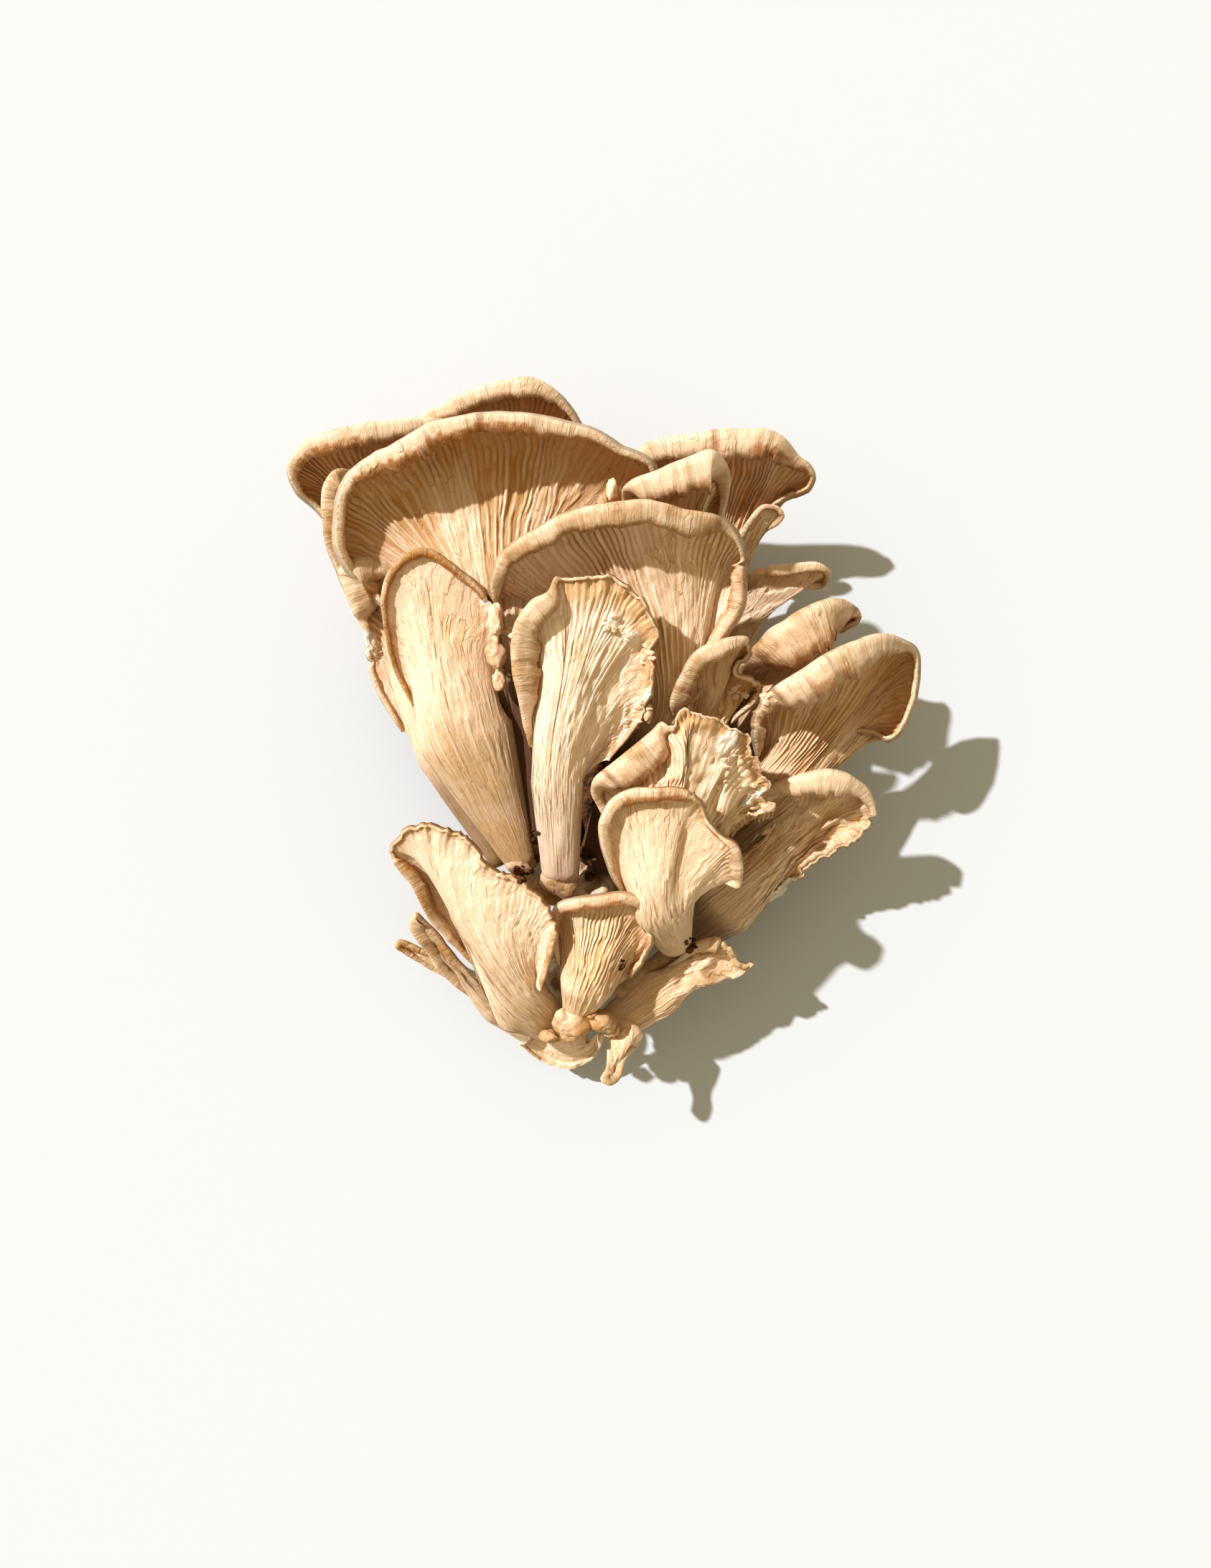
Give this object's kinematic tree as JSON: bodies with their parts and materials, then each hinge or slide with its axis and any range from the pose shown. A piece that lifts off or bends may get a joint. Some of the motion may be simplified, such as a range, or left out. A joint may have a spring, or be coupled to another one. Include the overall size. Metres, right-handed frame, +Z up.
{
  "type": "oyster mushroom cluster",
  "caption": "Whole cluster of oyster mushrooms, picked with its fused stem base and lying on its back: fan caps with gills turned up and rolled tan edges.",
  "frame": {"origin": "on the surface that the cluster lies on, below the middle of its bounding box", "axes": "+X across the cluster, +Y from the fused stem base towards the widest caps, +Z up from the surface"},
  "size_m": [0.1593, 0.1791, 0.0635],
  "materials": {
    "mushroom_flesh": "matt, soft and fibrous: pale cream gills and stem, tan cap skin that shows on the rolled edges",
    "stem_base": "matt, rough and fibrous, with white threads of mycelium and dark crumbs of the substrate"
  },
  "bodies": {
    "root": {"base": "stem_base", "left_pin": "mushroom_flesh", "right_pin": "mushroom_flesh", "centre_stalk": "mushroom_flesh", "lower_centre_cap": "mushroom_flesh", "crumpled_cap": "mushroom_flesh", "folded_cup": "mushroom_flesh", "centre_fan": "mushroom_flesh", "tongue": "mushroom_flesh", "rolled_tongue": "mushroom_flesh", "big_fan": "mushroom_flesh", "right_roll": "mushroom_flesh", "right_fan": "mushroom_flesh", "torn_scoop": "mushroom_flesh", "twisted_cap": "mushroom_flesh", "right_lobe": "mushroom_flesh", "tucked_cap": "mushroom_flesh", "left_back_cap": "mushroom_flesh", "right_top_cap": "mushroom_flesh", "left_top_cap": "mushroom_flesh", "back_cap": "mushroom_flesh", "small_fan": "mushroom_flesh", "lower_left_cap": "mushroom_flesh", "twisted_sprout": "mushroom_flesh", "bottom_sprout": "mushroom_flesh", "curled_sliver": "mushroom_flesh", "thin_sprout": "mushroom_flesh", "bottom_shell": "mushroom_flesh"}
  },
  "joints": []
}
